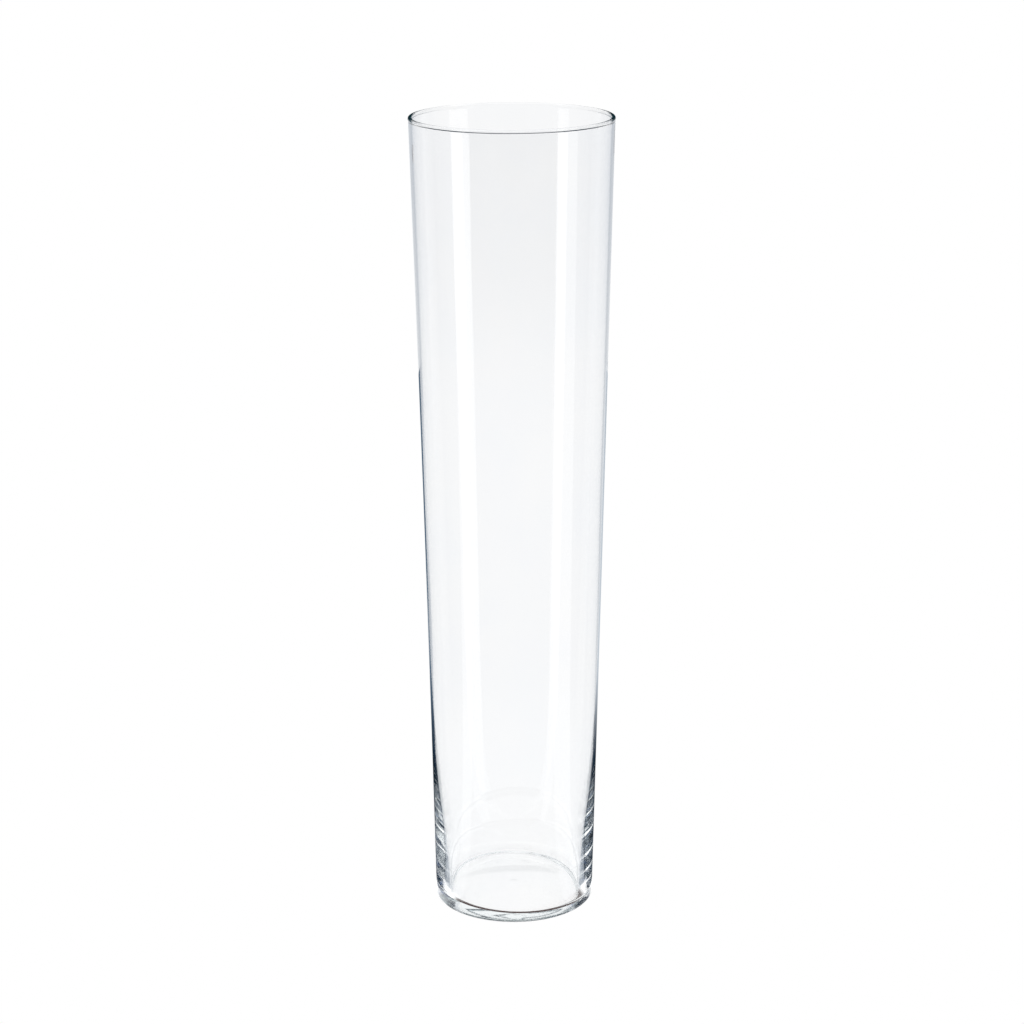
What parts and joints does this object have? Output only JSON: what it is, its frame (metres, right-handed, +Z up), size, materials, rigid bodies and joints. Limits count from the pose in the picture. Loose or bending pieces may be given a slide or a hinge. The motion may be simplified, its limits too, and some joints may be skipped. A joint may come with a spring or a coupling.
{
  "type": "glass vase",
  "caption": "Tall clear glass vase with a straight tapered wall, a fire-polished rim and a thick solid foot.",
  "frame": {"origin": "centre of the foot, on the surface that the vase stands on", "axes": "+Z up along the vase's axis, out of the mouth; the glass is turned about +Z, so +X and +Y are free"},
  "size_m": [0.1486, 0.1486, 0.6],
  "materials": {
    "glass": "clear soda-lime glass, fire-polished"
  },
  "bodies": {
    "root": {"rim": "glass", "wall": "glass", "heel": "glass", "floor": "glass"}
  },
  "joints": []
}
